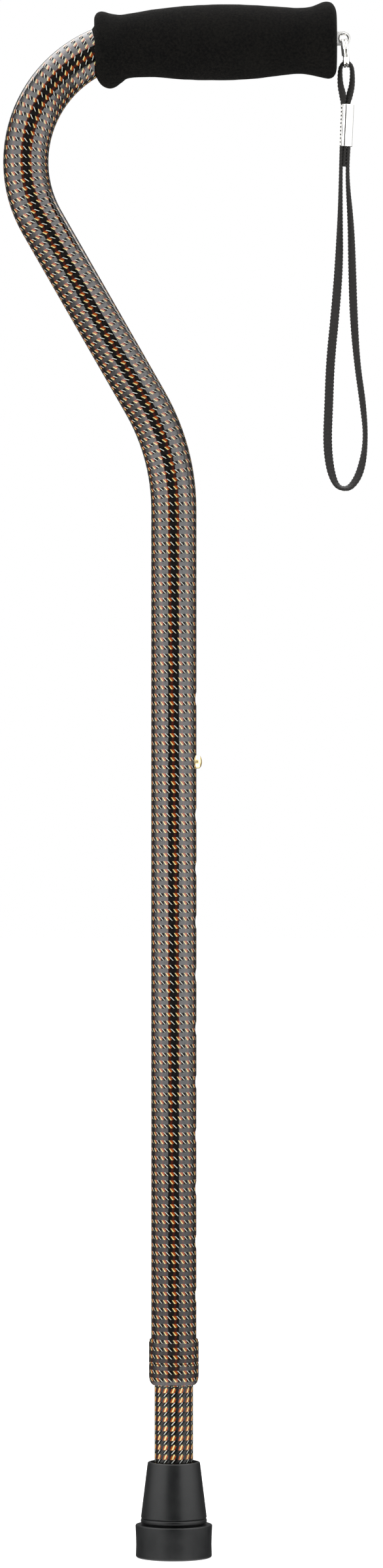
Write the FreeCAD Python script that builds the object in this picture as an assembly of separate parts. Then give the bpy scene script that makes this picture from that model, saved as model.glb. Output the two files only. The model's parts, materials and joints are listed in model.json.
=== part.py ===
import FreeCAD, Part
import math
import os

# Offset-handle walking cane with a telescopic shaft, in millimetres, +Z up.
# The origin is the hand grip's centre: on the grip tube's axis, straight above the shaft.
# The handle's open side faces +X and its hook faces -X. Heights are measured from the floor.

# overall sizes
grip_height = 736.5
grip_reach = 77.4
hook_setback = 13.3
hook_radius = 58.6
lean_angle = 29.8
lower_bend_radius = 105.0

# tubes
upper_diameter = 22.0
upper_wall = 1.3
lower_wall = 1.3
tube_clearance = 0.3
seat_gap = 0.02
running_gap = 0.06

# height adjustment: a row of holes and a sprung button
button_height = 386.4
hole_pitch = 25.9
holes_below = 10
top_hole_rise = 30.6
button_diameter = 6.5
button_clearance = 0.15
button_proud = 2.7
button_dome = 1.9
flange_diameter = 8.6
flange_thickness = 0.8
rivet_diameter = 2.6
rivet_head_diameter = 4.2
rivet_head_thickness = 0.5
rivet_hole_gap = 0.1

# hairpin spring that carries the button
leaf_thickness = 0.6
leaf_width = 7.0
leaf_length = 52.0
leaf_above_button = 6.0
leaf_bend_radius = 3.2
leaf_wall_gap = 0.25

# lower tube and the bushing in its top end
lower_top_height = 446.0
bushing_length = 12.0
bushing_wall = 1.2
bushing_rim = 2.0

# locking collar: a fixed ferrule above and a nut below
collar_wall = 1.1
collar_top_height = 106.2
collar_seam_height = 94.4
collar_bottom_height = 83.7
collar_shoulder = 1.2
seam_gap = 0.25
tube_end_above_seam = 1.2
nose_length = 5.6
nose_wall = 1.15
nut_round_height = 4.7
lip_height = 0.9
thread_gap = 0.06
cone_height = 1.5
cone_land = 0.35
cone_shoulder = 0.3
grip_ring_split = 1.6

# rubber tip and the steel disc inside it
tip_height = 46.4
tip_base_wall = 9.3
tip_base_waist = 0.35
tip_base_height = 15.1
tip_corner = 0.9
tip_cone_bottom_wall = 6.9
tip_cone_top_wall = 3.1
tip_cone_bottom_height = 19.2
tip_groove_depth = 0.8
tip_floor = 7.5
washer_thickness = 1.6
tread_depth = 1.6
tread_hub_radius = 3.2
tread_ring_width = 2.2
tread_groove_width = 2.0
tread_rings = 3

# foam grip: sections along the grip tube as (place back from the tube's open end, drop of the
# section's centre, lean of the section in degrees, foam thickness), from the hook's end outwards
foam_sections = [
    (115.0, -3.6, 4.5, 4.2),
    (114.0, -3.9, 6.0, 6.4),
    (111.7, -4.2, 8.2, 7.7),
    (107.4, -3.4, 9.5, 6.7),
    (100.8, -2.0, 9.0, 4.6),
    (87.4, -1.0, 2.5, 5.4),
    (72.4, -0.6, 0.0, 6.7),
    (55.4, -0.5, 0.0, 7.3),
    (39.4, -0.3, 0.0, 6.8),
    (27.4, 0.0, 0.0, 5.7),
    (17.4, 0.2, 0.0, 5.0),
    (10.4, 0.4, 0.0, 5.9),
    (4.4, 0.6, 0.0, 7.6),
    (0.8, 0.6, 0.0, 7.0),
    (-1.8, 0.6, 0.0, 3.6),
]

# end plug and the lug that it carries
plug_depth = 18.0
plug_flange = 1.6
plug_recess = 3.2
lug_thickness = 2.0
lug_radius = 3.3
lug_eye_diameter = 4.5
lug_reach = 5.1
lug_rise = 1.4
lug_tongue_height = 4.6
lug_tongue_depth = 11.0

# split ring of two coils in the lug's eye
ring_wire = 1.5
ring_mean_radius = 6.3
ring_coil_spacing = 1.55
ring_lean = 5.9
ring_hang = 0.85
ring_gap_angle = 24.0
ring_gap_place = 80.0
ring_step_overlap = 4.0

# wrist strap: a flat braid, and the crimped ferrule that joins its ends
strap_width = 4.5
strap_thickness = 1.7
layer_spacing = 1.85
arc_share = 0.45
ferrule_top = (84.4, -30.7)
ferrule_bottom = (83.5, -51.0)
ferrule_wall = 0.4
ferrule_play = 0.06
ferrule_corner = 1.2
# the strap's route from its short tail, up round the split ring, down one side, round the bottom
# and up the other side, as (x, z)
strap_route = [
    (82.95, -60.3),
    (83.45, -52.3),
    (84.62, -26.6),
    (87.15, -19.6),
    (87.05, -9.4),
    (80.72, -9.4),
    (80.65, -19.6),
    (82.72, -26.6),
    (81.60, -52.3),
    (81.15, -66.0),
    (80.75, -88.0),
    (80.2, -109.5),
    (78.4, -132.0),
    (76.0, -155.5),
    (75.2, -178.0),
    (74.5, -194.5),
    (75.7, -207.0),
    (78.4, -215.3),
    (82.0, -217.6),
    (86.4, -216.6),
    (91.0, -208.8),
    (93.4, -193.5),
    (91.9, -176.0),
    (89.0, -156.5),
    (87.3, -133.0),
    (86.6, -109.0),
    (86.0, -88.0),
    (84.7, -67.0),
    (85.28, -52.3),
    (86.18, -32.6),
]

upper_radius = upper_diameter / 2
upper_bore = upper_radius - upper_wall
lower_radius = upper_bore - tube_clearance
lower_bore = lower_radius - lower_wall
hole_diameter = button_diameter + 2 * button_clearance
collar_radius = upper_radius + collar_wall
shaft_end_height = collar_seam_height + tube_end_above_seam
grip_ring_inner = lower_radius + running_gap
nose_bore = lower_radius + 2 * running_gap
nose_radius = nose_bore + nose_wall
nut_bore = nose_radius + thread_gap
lip_radius = lower_radius + 3 * running_gap
lip_top_height = collar_bottom_height + lip_height
cone_low_radius = lip_radius + cone_land
cone_high_radius = nut_bore - cone_shoulder
tip_base_radius = lower_radius + tip_base_wall
tip_cone_bottom_radius = lower_radius + tip_cone_bottom_wall
tip_cone_top_radius = lower_radius + tip_cone_top_wall
lug_eye = (grip_reach + lug_reach, lug_rise)

up = FreeCAD.Vector(0, 0, 1)
along_x = FreeCAD.Vector(1, 0, 0)
along_y = FreeCAD.Vector(0, 1, 0)


def point(x, z, y=0.0):
    return FreeCAD.Vector(x, y, z)


def above_floor(height):
    return height - grip_height


def rod(radius, height, low):
    return Part.makeCylinder(radius, height, point(0, above_floor(low)), up)


def tube(outer, inner, low, high):
    return rod(outer, high - low, low).cut(rod(inner, high - low, low))


def spun(outline):
    """A solid of revolution about the shaft's axis from (radius, height above the floor) points."""
    corners = [point(r, above_floor(h)) for r, h in outline]
    face = Part.Face(Part.makePolygon(corners + corners[:1]))
    return face.revolve(point(0, 0), up, 360)


def slanting(degrees):
    """The direction in the handle's plane that leans this far from straight down towards +X."""
    turn = math.radians(degrees)
    return point(math.sin(turn), -math.cos(turn))


def handle_line(first_x):
    """The upper tube's centreline, from the grip's open end round the hook and down the shaft."""
    hook_centre = point(-hook_setback, -hook_radius)
    lean = math.radians(lean_angle)
    sideways = point(math.cos(lean), math.sin(lean))
    hook_start = point(-hook_setback, 0)
    hook_end = hook_centre - sideways * hook_radius
    middle = math.radians(90 + (90 + lean_angle) / 2)
    hook_middle = hook_centre + point(math.cos(middle), math.sin(middle)) * hook_radius
    bend_length = lower_bend_radius * math.tan(lean / 2)
    meeting = hook_end + slanting(lean_angle) * (-hook_end.x / math.sin(lean))
    bend_start = meeting - slanting(lean_angle) * bend_length
    bend_end = meeting - up * bend_length
    bend_centre = bend_end - along_x * lower_bend_radius
    half = lean / 2
    bend_middle = bend_centre + point(math.cos(half), math.sin(half)) * lower_bend_radius
    shaft_end = point(0, above_floor(shaft_end_height))
    return Part.Wire(
        [
            Part.LineSegment(point(first_x, 0), hook_start).toShape(),
            Part.Arc(hook_start, hook_middle, hook_end).toShape(),
            Part.LineSegment(hook_end, bend_start).toShape(),
            Part.Arc(bend_start, bend_middle, bend_end).toShape(),
            Part.LineSegment(bend_end, shaft_end).toShape(),
        ]
    )


def handle_rod(radius):
    start = point(grip_reach, 0)
    ring = Part.Wire([Part.Circle(start, along_x, radius).toShape()])
    return handle_line(grip_reach).makePipeShell([ring], True, False)


def adjustment_heights():
    below = [button_height - hole_pitch * n for n in range(holes_below + 1)]
    return [button_height + top_hole_rise] + below


def side_hole(diameter, height):
    start = point(lower_bore / 2, above_floor(height))
    return Part.makeCylinder(diameter / 2, upper_diameter, start, along_x)


def upper_shaft():
    shaft = handle_rod(upper_radius).cut(handle_rod(upper_bore))
    holes = [side_hole(hole_diameter, height) for height in adjustment_heights()]
    return shaft.cut(Part.makeCompound(holes))


def foam_circle(section):
    back, drop, lean, thickness = section
    tilt = math.radians(lean)
    facing = point(math.cos(tilt), math.sin(tilt))
    centre = point(grip_reach - back, drop)
    return Part.Wire([Part.Circle(centre, facing, upper_radius + thickness).toShape()])


def foam_grip():
    body = Part.makeLoft([foam_circle(s) for s in foam_sections], True, False)
    beyond = grip_reach - foam_sections[-1][0] + 1
    start = point(beyond, 0)
    ring = Part.Wire([Part.Circle(start, along_x, upper_radius + seat_gap).toShape()])
    bore = handle_line(beyond).makePipeShell([ring], True, False)
    return body.cut(bore)


def handle_plug():
    radius = upper_bore - seat_gap
    stem_start = point(grip_reach - plug_depth, 0)
    stem = Part.makeCylinder(radius, plug_depth, stem_start, along_x)
    flange = Part.makeCylinder(upper_radius, plug_flange, point(grip_reach, 0), along_x)
    hollow_depth = plug_depth - lug_tongue_depth - plug_recess
    hollow = Part.makeCylinder(radius - upper_wall, hollow_depth, stem_start, along_x)
    return stem.fuse(flange).cut(hollow).cut(strap_lug(seat_gap)).removeSplitter()


def strap_lug(allowance=0.0):
    """A flat tab with an eye; the allowance makes the slot that the tab's tongue sits in."""
    x, z = lug_eye
    low = -lug_thickness / 2 - allowance
    thick = along_y * (lug_thickness + 2 * allowance)
    disc = Part.makeCylinder(lug_radius, thick.y, point(x, z, low), along_y)
    root = grip_reach + plug_flange
    neck = Part.makeBox(x - root, thick.y, 2 * lug_radius, point(root, z - lug_radius, low))
    half = lug_tongue_height / 2 + allowance
    depth = lug_tongue_depth + allowance
    start = point(grip_reach - depth, z - half, low)
    tongue = Part.makeBox(root - grip_reach + depth, thick.y, 2 * half, start)
    eye = Part.makeCylinder(lug_eye_diameter / 2, thick.y, point(x, z, low), along_y)
    return disc.fuse(neck).fuse(tongue).cut(eye).removeSplitter()


def ring_frame():
    """The split ring's centre, its axis, and the direction from its centre down to the strap."""
    down = slanting(ring_lean)
    eye = point(lug_eye[0], lug_eye[1])
    centre = eye + down * (ring_hang + ring_mean_radius)
    return centre, point(-down.z, down.x), down


def split_ring():
    """Two coils side by side, each with a gap, and the step from one to the other."""
    centre, axis, down = ring_frame()
    wire = ring_wire / 2
    across = axis * (ring_coil_spacing / 2)
    sweep = 360 - ring_gap_angle

    def coil(side, first, angle):
        middle = centre + across * side
        start = middle + down * ring_mean_radius
        tangent = axis.cross(down)
        face = Part.Face(Part.Wire([Part.Circle(start, tangent, wire).toShape()]))
        turned = face.rotated(middle, axis, first)
        return turned.revolve(middle, axis, angle)

    def on_coil(side, angle):
        turn = math.radians(angle)
        radial = down * math.cos(turn) + axis.cross(down) * math.sin(turn)
        return centre + radial * ring_mean_radius + across * side

    gap_start = ring_gap_place - ring_gap_angle
    step_start = on_coil(-1, ring_gap_place + ring_step_overlap)
    step_end = on_coil(1, gap_start - ring_step_overlap)
    stride = step_end - step_start
    step = Part.makeCylinder(wire - seat_gap, stride.Length, step_start, stride)
    left = coil(-1, gap_start, -sweep)
    right = coil(1, ring_gap_place, sweep)
    return left.fuse(right).fuse(step).removeSplitter()


def strap_path():
    """Straight runs joined by tangent arcs. Returns the edges and the arcs' radii."""
    corners = [point(x, z) for x, z in strap_route]
    edges, radii = [], []
    reached = corners[0]
    for before, corner, after in zip(corners, corners[1:], corners[2:]):
        back, on = before - corner, after - corner
        turn = math.pi - back.getAngle(on)
        cut = arc_share * min(back.Length, on.Length)
        radius = cut / math.tan(turn / 2)
        back.normalize()
        on.normalize()
        start, end = corner + back * cut, corner + on * cut
        inward = (back + on).normalize()
        middle = corner + inward * (radius / math.cos(turn / 2) - radius)
        edges.append(Part.LineSegment(reached, start).toShape())
        edges.append(Part.Arc(start, middle, end).toShape())
        radii.append(radius)
        reached = end
    edges.append(Part.LineSegment(reached, corners[-1]).toShape())
    return edges, radii


def wrist_strap():
    edges, radii = strap_path()
    path = Part.Wire(edges)
    print("strap arc radii:", ", ".join(f"{radius:.1f}" for radius in radii))
    heading = edges[0].tangentAt(edges[0].FirstParameter)
    side = heading.cross(along_y).normalize() * (strap_thickness / 2)
    width = along_y * (strap_width / 2)
    start = point(*strap_route[0])
    corners = [start + side + width, start - side + width]
    corners += [start - side - width, start + side - width]
    section = Part.makePolygon(corners + corners[:1])
    sweep = Part.BRepOffsetAPI.MakePipeShell(path)
    sweep.setBiNormalMode(along_y)
    sweep.add(section)
    sweep.build()
    sweep.makeSolid()
    strap = sweep.shape()
    expected = path.Length * strap_width * strap_thickness
    print(f"strap length {path.Length:.1f}, volume {strap.Volume:.0f} for {expected:.0f}")
    return strap


def rounded_bar(half_x, half_y, corner, length):
    """A bar up from the origin with a rounded rectangular section."""
    bar = Part.makeBox(2 * half_x, 2 * half_y, length, FreeCAD.Vector(-half_x, -half_y, 0))
    upright = [e for e in bar.Edges if abs(e.tangentAt(e.FirstParameter).z) > 0.9]
    return bar.makeFillet(corner, upright)


def strap_ferrule():
    top, bottom = point(*ferrule_top), point(*ferrule_bottom)
    half_x = layer_spacing + strap_thickness / 2 + ferrule_play
    half_y = strap_width / 2 + ferrule_play
    length = (top - bottom).Length
    outside = rounded_bar(half_x + ferrule_wall, half_y + ferrule_wall, ferrule_corner, length)
    inside = Part.makeBox(
        2 * half_x, 2 * half_y, length, FreeCAD.Vector(-half_x, -half_y, 0)
    )
    sleeve = outside.cut(inside)
    sleeve.Placement = FreeCAD.Placement(bottom, FreeCAD.Rotation(up, top - bottom))
    return sleeve


def lock_ferrule():
    """Sleeve over the upper tube's end, with a nose below that the nut runs on."""
    seam = collar_seam_height + seam_gap / 2
    nose_end = collar_seam_height - nose_length
    return spun(
        [
            (upper_radius + seat_gap, collar_top_height),
            (upper_radius + 0.3, collar_top_height),
            (collar_radius, collar_top_height - collar_shoulder),
            (collar_radius, seam),
            (nose_radius, seam),
            (nose_radius, nose_end),
            (nose_bore + 0.3, nose_end),
            (nose_bore, nose_end + 0.3),
            (nose_bore, shaft_end_height - seat_gap),
            (upper_radius + seat_gap, shaft_end_height - seat_gap),
        ]
    )


def nut_side():
    """The nut's rounded lower corner as (radius, height above the floor) points."""
    steps = 6
    width = collar_radius - lower_radius - 4 * running_gap
    side = []
    for n in range(steps + 1):
        turn = math.pi / 2 * n / steps
        radius = collar_radius - width * (1 - math.cos(turn))
        side.append((radius, collar_bottom_height + nut_round_height * (1 - math.sin(turn))))
    return side


def lock_nut():
    """Nut with a cone inside its lower lip, which squeezes the grip ring."""
    seam = collar_seam_height - seam_gap / 2
    cone_top = lip_top_height + cone_height
    inside = [
        (lip_radius, collar_bottom_height),
        (lip_radius, lip_top_height),
        (cone_low_radius, lip_top_height),
        (cone_high_radius, cone_top),
        (nut_bore, cone_top),
    ]
    return spun([(nut_bore, seam), (collar_radius, seam)] + nut_side() + inside)


def grip_ring():
    """Split nylon ring between the nut's lip and the ferrule's nose."""
    low = lip_top_height + running_gap
    high = collar_seam_height - nose_length - running_gap
    outer = cone_high_radius - running_gap
    ring = spun(
        [
            (grip_ring_inner, low),
            (cone_low_radius - running_gap, low),
            (outer, low + cone_height),
            (outer, high),
            (grip_ring_inner, high),
        ]
    )
    start = FreeCAD.Vector(-upper_diameter, -grip_ring_split / 2, above_floor(low) - 1)
    return ring.cut(Part.makeBox(upper_diameter, grip_ring_split, high - low + 2, start))


def lower_low_height():
    return tip_floor + washer_thickness + seat_gap


def lower_shaft():
    shaft = tube(lower_radius, lower_bore, lower_low_height(), lower_top_height)
    return shaft.cut(side_hole(hole_diameter, button_height))


def tube_bushing():
    """Plastic bushing in the lower tube's top end; its rim runs in the upper tube."""
    rim_low = lower_top_height + seat_gap
    rim_high = rim_low + bushing_rim
    outer = lower_bore - seat_gap
    inner = outer - bushing_wall
    return spun(
        [
            (outer, lower_top_height - bushing_length),
            (outer, rim_low),
            (upper_bore - running_gap, rim_low),
            (upper_bore - running_gap, rim_high),
            (inner, rim_high),
            (inner, lower_top_height - bushing_length),
        ]
    )


def flange_outer_place():
    """The flange's flat face just clears the lower tube's round wall."""
    reach = flange_diameter / 2
    return math.sqrt(lower_bore**2 - reach**2) - running_gap


def snap_button():
    """Domed pin with a flange behind the lower tube's wall and a riveted tail."""
    height = above_floor(button_height)
    outer = flange_outer_place()
    inner = outer - flange_thickness
    crown = upper_radius + button_proud
    radius = button_diameter / 2
    bend = (radius**2 + button_dome**2) / (2 * button_dome)
    pin = Part.makeCylinder(radius, crown - button_dome - outer, point(outer, height), along_x)
    dome_start = point(crown - button_dome, height)
    dome = Part.makeCylinder(radius, button_dome, dome_start, along_x)
    dome = dome.common(Part.makeSphere(bend, point(crown - bend, height)))
    flange = Part.makeCylinder(
        flange_diameter / 2, flange_thickness, point(inner, height), along_x
    )
    tail_length = leaf_thickness + 2 * seat_gap
    tail_start = point(inner - tail_length, height)
    tail = Part.makeCylinder(rivet_diameter / 2, tail_length, tail_start, along_x)
    head_start = tail_start - along_x * rivet_head_thickness
    head = Part.makeCylinder(rivet_head_diameter / 2, rivet_head_thickness, head_start, along_x)
    return pin.fuse([dome, flange, tail, head]).removeSplitter()


def snap_spring():
    """Hairpin leaf: one arm bears on the tube's far wall and the other carries the button."""
    height = above_floor(button_height)
    top = height + leaf_above_button
    bottom = height + leaf_above_button - leaf_length
    front = flange_outer_place() - flange_thickness - seat_gap
    reach = leaf_width / 2
    back = -math.sqrt(lower_bore**2 - reach**2) + leaf_wall_gap
    knee = height - 3 * leaf_above_button
    bend = leaf_bend_radius
    middle = (front + back) / 2

    def hairpin(inset):
        """The strip's outline on one face, that far in from its outer face."""
        arc = bend - inset
        low = bottom + bend
        return [
            point(front - inset, top),
            point(front - inset, knee),
            point(middle + arc, low),
            point(middle, low - arc),
            point(middle - arc, low),
            point(back + inset, knee),
            point(back + inset, top),
        ]

    def edges(p):
        return [
            Part.LineSegment(p[0], p[1]).toShape(),
            Part.LineSegment(p[1], p[2]).toShape(),
            Part.Arc(p[2], p[3], p[4]).toShape(),
            Part.LineSegment(p[4], p[5]).toShape(),
            Part.LineSegment(p[5], p[6]).toShape(),
        ]

    outer, inner = hairpin(0), hairpin(leaf_thickness)
    ends = [
        Part.LineSegment(outer[-1], inner[-1]).toShape(),
        Part.LineSegment(inner[0], outer[0]).toShape(),
    ]
    outline = Part.Wire(Part.__sortEdges__(edges(outer) + edges(inner) + ends))
    strip = Part.Face(outline).extrude(along_y * leaf_width)
    strip.translate(along_y * -reach)
    hole_start = point(front - 3 * leaf_thickness, height)
    hole_radius = rivet_diameter / 2 + rivet_hole_gap
    hole = Part.makeCylinder(hole_radius, 6 * leaf_thickness, hole_start, along_x)
    return strip.cut(hole)


def rubber_tip():
    bore = lower_radius + seat_gap
    waist = tip_base_radius - tip_base_waist
    groove = tip_cone_bottom_radius - tip_groove_depth
    tip = spun(
        [
            (0, 0),
            (waist - tip_corner, 0),
            (waist - 0.25 * tip_corner, 0.3 * tip_corner),
            (waist, tip_corner),
            (waist, tip_base_height / 2),
            (tip_base_radius, tip_base_height - 0.4),
            (tip_base_radius - 0.5, tip_base_height + 0.2),
            (groove, tip_base_height + 1.0),
            (groove, tip_cone_bottom_height - 0.6),
            (tip_cone_bottom_radius, tip_cone_bottom_height),
            (tip_cone_top_radius, tip_height - 0.8),
            (tip_cone_top_radius - 0.7, tip_height),
            (bore, tip_height),
            (bore, tip_floor),
            (0, tip_floor),
        ]
    )
    step = tread_ring_width + tread_groove_width
    for n in range(tread_rings):
        inside = tread_hub_radius + n * step
        tip = tip.cut(tube(inside + tread_groove_width, inside, -1, tread_depth))
    return tip


def tip_washer():
    return rod(lower_radius, washer_thickness, tip_floor)


parts = [
    upper_shaft,
    foam_grip,
    handle_plug,
    strap_lug,
    split_ring,
    wrist_strap,
    strap_ferrule,
    lock_ferrule,
    lock_nut,
    grip_ring,
    lower_shaft,
    tube_bushing,
    snap_button,
    snap_spring,
    rubber_tip,
    tip_washer,
]

os.makedirs("parts", exist_ok=True)
for make in parts:
    shape = make()
    solids = len(shape.Solids)
    print(f"{make.__name__}: {solids} solid, {shape.Volume:.0f} mm3, valid {shape.isValid()}")
    shape.exportStep(f"parts/{make.__name__}.step")
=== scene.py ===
import json
import math
import bpy
from mathutils import Matrix, Vector, noise


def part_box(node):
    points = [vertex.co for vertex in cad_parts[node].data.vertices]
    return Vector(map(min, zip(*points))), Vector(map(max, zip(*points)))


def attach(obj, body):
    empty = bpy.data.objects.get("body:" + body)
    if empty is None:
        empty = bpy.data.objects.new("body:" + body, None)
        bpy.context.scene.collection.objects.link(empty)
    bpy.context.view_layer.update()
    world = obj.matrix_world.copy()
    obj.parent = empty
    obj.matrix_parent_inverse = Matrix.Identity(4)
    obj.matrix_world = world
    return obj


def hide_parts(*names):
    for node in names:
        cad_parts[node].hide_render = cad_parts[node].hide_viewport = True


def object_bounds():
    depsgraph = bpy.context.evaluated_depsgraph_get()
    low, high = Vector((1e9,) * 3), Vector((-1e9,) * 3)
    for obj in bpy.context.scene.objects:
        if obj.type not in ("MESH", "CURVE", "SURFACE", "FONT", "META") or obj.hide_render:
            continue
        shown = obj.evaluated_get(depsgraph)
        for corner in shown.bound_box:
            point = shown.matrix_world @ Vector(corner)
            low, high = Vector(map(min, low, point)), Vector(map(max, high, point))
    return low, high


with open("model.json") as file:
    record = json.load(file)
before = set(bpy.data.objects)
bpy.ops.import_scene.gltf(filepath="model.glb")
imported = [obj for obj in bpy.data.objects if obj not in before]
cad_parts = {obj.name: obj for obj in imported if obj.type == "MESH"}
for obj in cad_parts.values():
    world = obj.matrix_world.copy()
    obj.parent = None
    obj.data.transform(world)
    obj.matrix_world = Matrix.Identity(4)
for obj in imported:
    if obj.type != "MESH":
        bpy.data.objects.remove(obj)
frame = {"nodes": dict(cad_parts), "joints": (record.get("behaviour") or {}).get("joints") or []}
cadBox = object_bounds()
floorZ = cadBox[0].z
print("frame loaded")

# camera on the cane's side, level with the middle of its height, in metres
view = {
    "distance": 3.0,
    "shownHeight": 0.762,
    "sensor": 36.0,  # millimetres, as the lens is
    "aside": 0.0031,
    "below": 0.0022,
    "farthest": 50,
}


def makeCamera():
    middle = (cadBox[0] + cadBox[1]) / 2
    data = bpy.data.cameras.new("camera")
    data.sensor_width = view["sensor"]
    data.lens = view["sensor"] * view["distance"] / view["shownHeight"]
    data.clip_end = view["farthest"]
    camera = bpy.data.objects.new("camera", data)
    camera.location = (middle.x + view["aside"], -view["distance"], middle.z - view["below"])
    camera.rotation_euler = (math.radians(90), 0, 0)
    bpy.context.scene.collection.objects.link(camera)
    bpy.context.scene.camera = camera


makeCamera()
print("camera placed")


def linearColour(code):
    parts = [int(code[i : i + 2], 16) / 255 for i in (1, 3, 5)]
    return tuple(c / 12.92 if c <= 0.04045 else ((c + 0.055) / 1.055) ** 2.4 for c in parts) + (1,)


def addNode(tree, kind, inputs=None, **settings):
    node = tree.nodes.new("ShaderNode" + kind)
    for name, value in settings.items():
        setattr(node, name, value)
    for key, value in (inputs or {}).items():
        if isinstance(value, bpy.types.NodeSocket):
            tree.links.new(value, node.inputs[key])
        else:
            node.inputs[key].default_value = value
    return node


def startMaterial(name, **values):
    material = bpy.data.materials.new(name)
    material.use_nodes = True
    tree = material.node_tree
    shader = tree.nodes["Principled BSDF"]
    for key, value in values.items():
        shader.inputs[key.replace("_", " ")].default_value = value
    return material, tree, shader


def objectPlace(tree):
    return addNode(tree, "TexCoord").outputs["Object"]


def grainScale(size):
    # a pattern's scale from the real size of its grain in millimetres
    return 1000 / size


def addBump(tree, shader, height, strength, distance, socket="Normal"):
    bump = addNode(tree, "Bump", {"Height": height, "Strength": strength, "Distance": distance})
    tree.links.new(bump.outputs[0], shader.inputs[socket])


def blendColours(tree, mask, under, over):
    mix = addNode(tree, "Mix", data_type="RGBA")
    for index, value in ((0, mask), (6, under), (7, over)):
        if isinstance(value, bpy.types.NodeSocket):
            tree.links.new(value, mix.inputs[index])
        else:
            mix.inputs[index].default_value = value
    return mix.outputs[2]


def meshPiece(name, points, faces, material, body, sharp=None):
    mesh = bpy.data.meshes.new(name)
    mesh.from_pydata(points, [], faces)
    mesh.validate()
    mesh.shade_smooth()
    if sharp:
        mesh.set_sharp_from_angle(angle=math.radians(sharp))
    mesh.materials.append(material)
    piece = bpy.data.objects.new(name, mesh)
    bpy.context.scene.collection.objects.link(piece)
    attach(piece, body)
    return piece


def joinRings(count, around, closed=False):
    # faces between rings of points, each ring joined to the next
    faces = []
    for ring in range(count if closed else count - 1):
        here, there = ring * around, (ring + 1) % count * around
        for k in range(around):
            faces.append((here + k, here + (k + 1) % around, there + (k + 1) % around, there + k))
    return faces


def softenEdges(piece, width, segments=3, angle=30):
    bevel = piece.modifiers.new("softEdges", "BEVEL")
    bevel.width = width
    bevel.segments = segments
    bevel.limit_method = "ANGLE"
    bevel.angle_limit = math.radians(angle)
    bevel.harden_normals = True


# wrist strap: flat polyester braid in one length, from its short tail up round the ring and back
strap = {
    "width": 0.0045,
    "thickness": 0.0019,
    "length": 0.45,
    "stitchPitch": 0.0017,
    # depths as shares of the size they are cut from: wavy edges, slanted ridges, the dip along the middle
    "scallop": 0.15,
    "ridge": 0.26,
    "ridgeSlant": 0.75,
    "dip": 0.06,
    "dipWidth": 0.12,
    # roundness of the section: 1 is an ellipse and 0 is a box
    "edgeRound": 0.6,
    "faceRound": 0.7,
    "squeeze": 0.2,
    "squeezeFade": 0.003,
    "ringStep": 0.00035,
    "around": 24,
    # x and z of the route in metres, and how far the flat side is turned to the cane's side, in degrees
    "route": [
        (0.08268, -0.0606, 0),
        (0.08310, -0.0523, 0),
        (0.08425, -0.0315, 14),
        (0.08520, -0.0265, 44),
        (0.08680, -0.0205, 26),
        (0.08655, -0.0103, 4),
        (0.08085, -0.0103, -4),
        (0.08065, -0.0205, -26),
        (0.08225, -0.0265, -44),
        (0.08235, -0.0315, -14),
        (0.08135, -0.0523, 0),
        (0.08108, -0.0650, 4),
        (0.08075, -0.0880, 25),
        (0.08020, -0.1095, 66),
        (0.07840, -0.1320, 76),
        (0.07600, -0.1555, 80),
        (0.07520, -0.1780, 80),
        (0.07450, -0.1945, 78),
        (0.07570, -0.2070, 62),
        (0.07840, -0.2153, 34),
        (0.08200, -0.2176, 14),
        (0.08640, -0.2166, 38),
        (0.09100, -0.2088, 54),
        (0.09340, -0.1935, 10),
        (0.09190, -0.1760, 34),
        (0.08900, -0.1565, 30),
        (0.08730, -0.1330, 56),
        (0.08660, -0.1090, 52),
        (0.08600, -0.0880, 32),
        (0.08420, -0.0665, 4),
        (0.08478, -0.0523, 0),
        (0.08618, -0.0326, 0),
    ],
}


def splineLine(points):
    # the points of a smooth curve that has these as its control points
    data = bpy.data.curves.new("line", "CURVE")
    data.dimensions = "3D"
    spline = data.splines.new("NURBS")
    spline.points.add(len(points) - 1)
    for place, point in zip(spline.points, points):
        place.co = (*point, 1)
    spline.order_u = 3
    spline.use_endpoint_u = True
    spline.resolution_u = 24
    holder = bpy.data.objects.new("line", data)
    mesh = bpy.data.meshes.new_from_object(holder)
    line = [v.co.copy() for v in mesh.vertices]
    bpy.data.meshes.remove(mesh)
    bpy.data.objects.remove(holder)
    bpy.data.curves.remove(data)
    return line


def evenSteps(line, turns, step):
    # walks along the line in equal steps, and gives how far it has come, the place and its turn
    lengths = [0.0]
    for a, b in zip(line, line[1:]):
        lengths.append(lengths[-1] + (b - a).length)
    count = math.ceil(lengths[-1] / step)
    places, index = [], 0
    for n in range(count + 1):
        at = lengths[-1] * n / count
        while index < len(line) - 2 and lengths[index + 1] < at:
            index += 1
        share = (at - lengths[index]) / max(lengths[index + 1] - lengths[index], 1e-9)
        place = line[index].lerp(line[index + 1], min(share, 1.0))
        turn = turns[index].x + (turns[index + 1].x - turns[index].x) * share
        places.append((at, place, turn))
    return places


def braidMaterial():
    # polyester braid, flat woven: soft black with a dull sheen on each bundle of yarn.
    # the yarn's threads are 0.02 mm, drawn at 0.38 mm so that they show
    material, tree, shader = startMaterial(
        "blackPolyesterBraid", Roughness=0.7, Specular_IOR_Level=0.18, Sheen_Weight=0.03
    )
    place = objectPlace(tree)
    yarn = addNode(tree, "TexNoise", {"Vector": place, "Scale": grainScale(0.3846), "Detail": 2.0})
    tone = addNode(tree, "ValToRGB", {0: yarn.outputs["Fac"]})
    tone.color_ramp.elements[0].position = 0.3
    tone.color_ramp.elements[0].color = linearColour("#0c0b0a")
    tone.color_ramp.elements[1].position = 0.75
    tone.color_ramp.elements[1].color = linearColour("#1c1a18")
    tree.links.new(tone.outputs[0], shader.inputs["Base Color"])
    addBump(tree, shader, yarn.outputs["Fac"], 0.5, 0.00012)
    return material


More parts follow.
